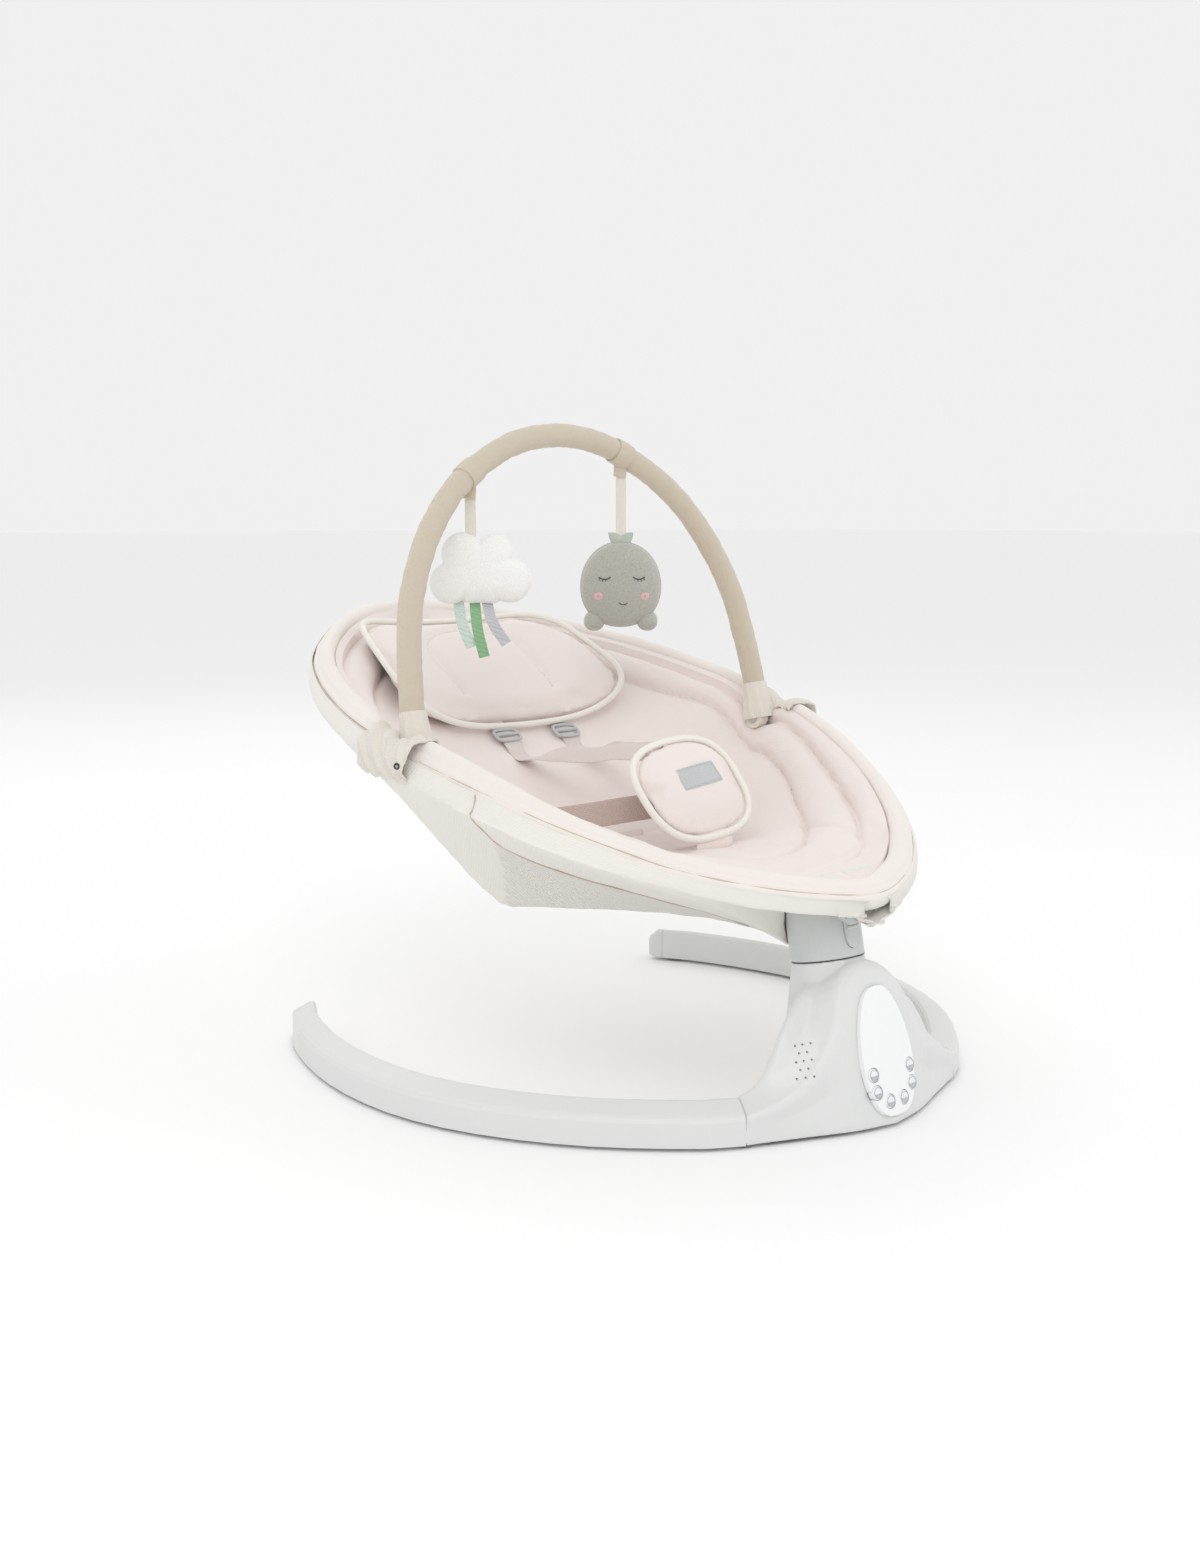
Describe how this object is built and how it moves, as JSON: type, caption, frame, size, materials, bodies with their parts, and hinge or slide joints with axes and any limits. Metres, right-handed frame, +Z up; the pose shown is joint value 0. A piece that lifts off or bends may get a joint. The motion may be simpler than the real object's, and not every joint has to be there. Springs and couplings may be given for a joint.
{
  "type": "electric baby swing",
  "caption": "Electric baby swing with a C-shaped floor base, a push-button swing post, a padded reclined seat, a harness and a fabric toy bar with soft hanging toys.",
  "frame": {"origin": "on the floor under the centre of the swing's bounding box", "axes": "+Z up; -Y towards the swing post and the baby's feet, +Y towards the head end; +X to the right seen from the post"},
  "size_m": [0.6026, 0.7139, 0.5813],
  "materials": {
    "shell_grey": "satin",
    "foot_rubber": "matte",
    "panel_white": "gloss",
    "key_white": "satin",
    "bushing_brass": "turned",
    "coil_copper": "wound wire",
    "board_green": "matte",
    "black_plastic": "matte",
    "collar_grey": "satin",
    "steel": "drawn tube",
    "cream_knit": "ribbed knit",
    "blush_jersey": "soft jersey",
    "slider_grey": "satin",
    "mauve_webbing": "woven tape",
    "beige_canvas": "napped cloth",
    "beige_plastic": "satin",
    "white_plush": "short plush",
    "grey_plush": "short plush",
    "leaf_felt": "felt",
    "ribbon_mint": "ribbon",
    "ribbon_green": "ribbon",
    "ribbon_grey": "ribbon"
  },
  "bodies": {
    "base": {"housing": "shell_grey", "base_plate": "shell_grey", "rail_left": "shell_grey", "rail_right": "shell_grey", "rail_cap_left": "shell_grey", "rail_cap_right": "shell_grey", "foot_tip_left": "foot_rubber", "foot_tip_right": "foot_rubber", "foot_front_left": "foot_rubber", "foot_front_right": "foot_rubber", "control_panel": "panel_white", "swing_bushing": "bushing_brass", "drive_coil": "coil_copper", "circuit_board": "board_green", "speaker": "black_plastic", "power_socket": "black_plastic"},
    "swing": {"swing_collar": "collar_grey", "swing_shaft": "steel", "drive_magnet": "steel", "rim_tube": "steel", "rim_pad": "cream_knit", "seat_bracket": "collar_grey", "hip_tube": "steel", "sling": "cream_knit", "seat_liner": "blush_jersey", "head_pillow": "blush_jersey", "crotch_pad": "blush_jersey", "crotch_strap": "blush_jersey", "shoulder_strap_left": "blush_jersey", "shoulder_strap_right": "blush_jersey", "strap_slider_left": "slider_grey", "strap_slider_right": "slider_grey", "waist_belt": "mauve_webbing", "harness_buckle": "black_plastic", "pivot_bolt_left": "steel", "pivot_bolt_right": "steel", "bar_wrap_left": "beige_canvas", "bar_wrap_right": "beige_canvas"},
    "toy_bar": {"toy_bar_core": "steel", "toy_bar_cover": "beige_canvas", "bar_hub_left": "beige_plastic", "bar_hub_right": "beige_plastic", "bar_loop_left": "beige_canvas", "bar_loop_right": "beige_canvas"},
    "cloud": {"cloud_strap": "white_plush", "cloud_toy": "white_plush", "ribbon_mint": "ribbon_mint", "ribbon_green": "ribbon_green", "ribbon_grey": "ribbon_grey"},
    "creature": {"creature_strap": "white_plush", "creature_toy": "grey_plush", "creature_leaves": "leaf_felt"},
    "release_button": {"release_button": "collar_grey"},
    "key_power": {"key_power": "key_white"},
    "key_speed": {"key_speed": "key_white"},
    "key_timer": {"key_timer": "key_white"},
    "key_music": {"key_music": "key_white"},
    "key_nature": {"key_nature": "key_white"},
    "key_volume": {"key_volume": "key_white"}
  },
  "joints": [
    {"name": "swing", "type": "hinge", "parent": "base", "child": "swing", "pos_m": [0, -0.277, 0.127], "axis": [0, 0.2079, 0.9781], "range_deg": [-13, 13]},
    {"name": "toy_bar_tilt", "type": "hinge", "parent": "swing", "child": "toy_bar", "pos_m": [0, 0.011, 0.29], "axis": [1, 0, 0], "range_deg": [-25, 35]},
    {"name": "cloud_swing", "type": "hinge", "parent": "toy_bar", "child": "cloud", "pos_m": [-0.11355, 0.06487, 0.50988], "axis": [0.788, -0.6157, 0], "range_deg": [-20, 20]},
    {"name": "creature_swing", "type": "hinge", "parent": "toy_bar", "child": "creature", "pos_m": [0.07445, 0.0696, 0.5337], "axis": [0.788, -0.6157, 0], "range_deg": [-20, 20]},
    {"name": "release_press", "type": "slide", "parent": "swing", "child": "release_button", "axis": [0, 0.9781, -0.2079], "range_m": [0, 0.003], "stiffness_N_per_m": 2000},
    {"name": "key_power_press", "type": "slide", "parent": "base", "child": "key_power", "axis": [0, 0.963, -0.2696], "range_m": [0, 0.0008], "stiffness_N_per_m": 2500},
    {"name": "key_speed_press", "type": "slide", "parent": "base", "child": "key_speed", "axis": [0, 0.963, -0.2696], "range_m": [0, 0.0008], "stiffness_N_per_m": 2500},
    {"name": "key_timer_press", "type": "slide", "parent": "base", "child": "key_timer", "axis": [0, 0.963, -0.2696], "range_m": [0, 0.0008], "stiffness_N_per_m": 2500},
    {"name": "key_music_press", "type": "slide", "parent": "base", "child": "key_music", "axis": [0, 0.963, -0.2696], "range_m": [0, 0.0008], "stiffness_N_per_m": 2500},
    {"name": "key_nature_press", "type": "slide", "parent": "base", "child": "key_nature", "axis": [0, 0.963, -0.2696], "range_m": [0, 0.0008], "stiffness_N_per_m": 2500},
    {"name": "key_volume_press", "type": "slide", "parent": "base", "child": "key_volume", "axis": [0, 0.963, -0.2696], "range_m": [0, 0.0008], "stiffness_N_per_m": 2500}
  ]
}
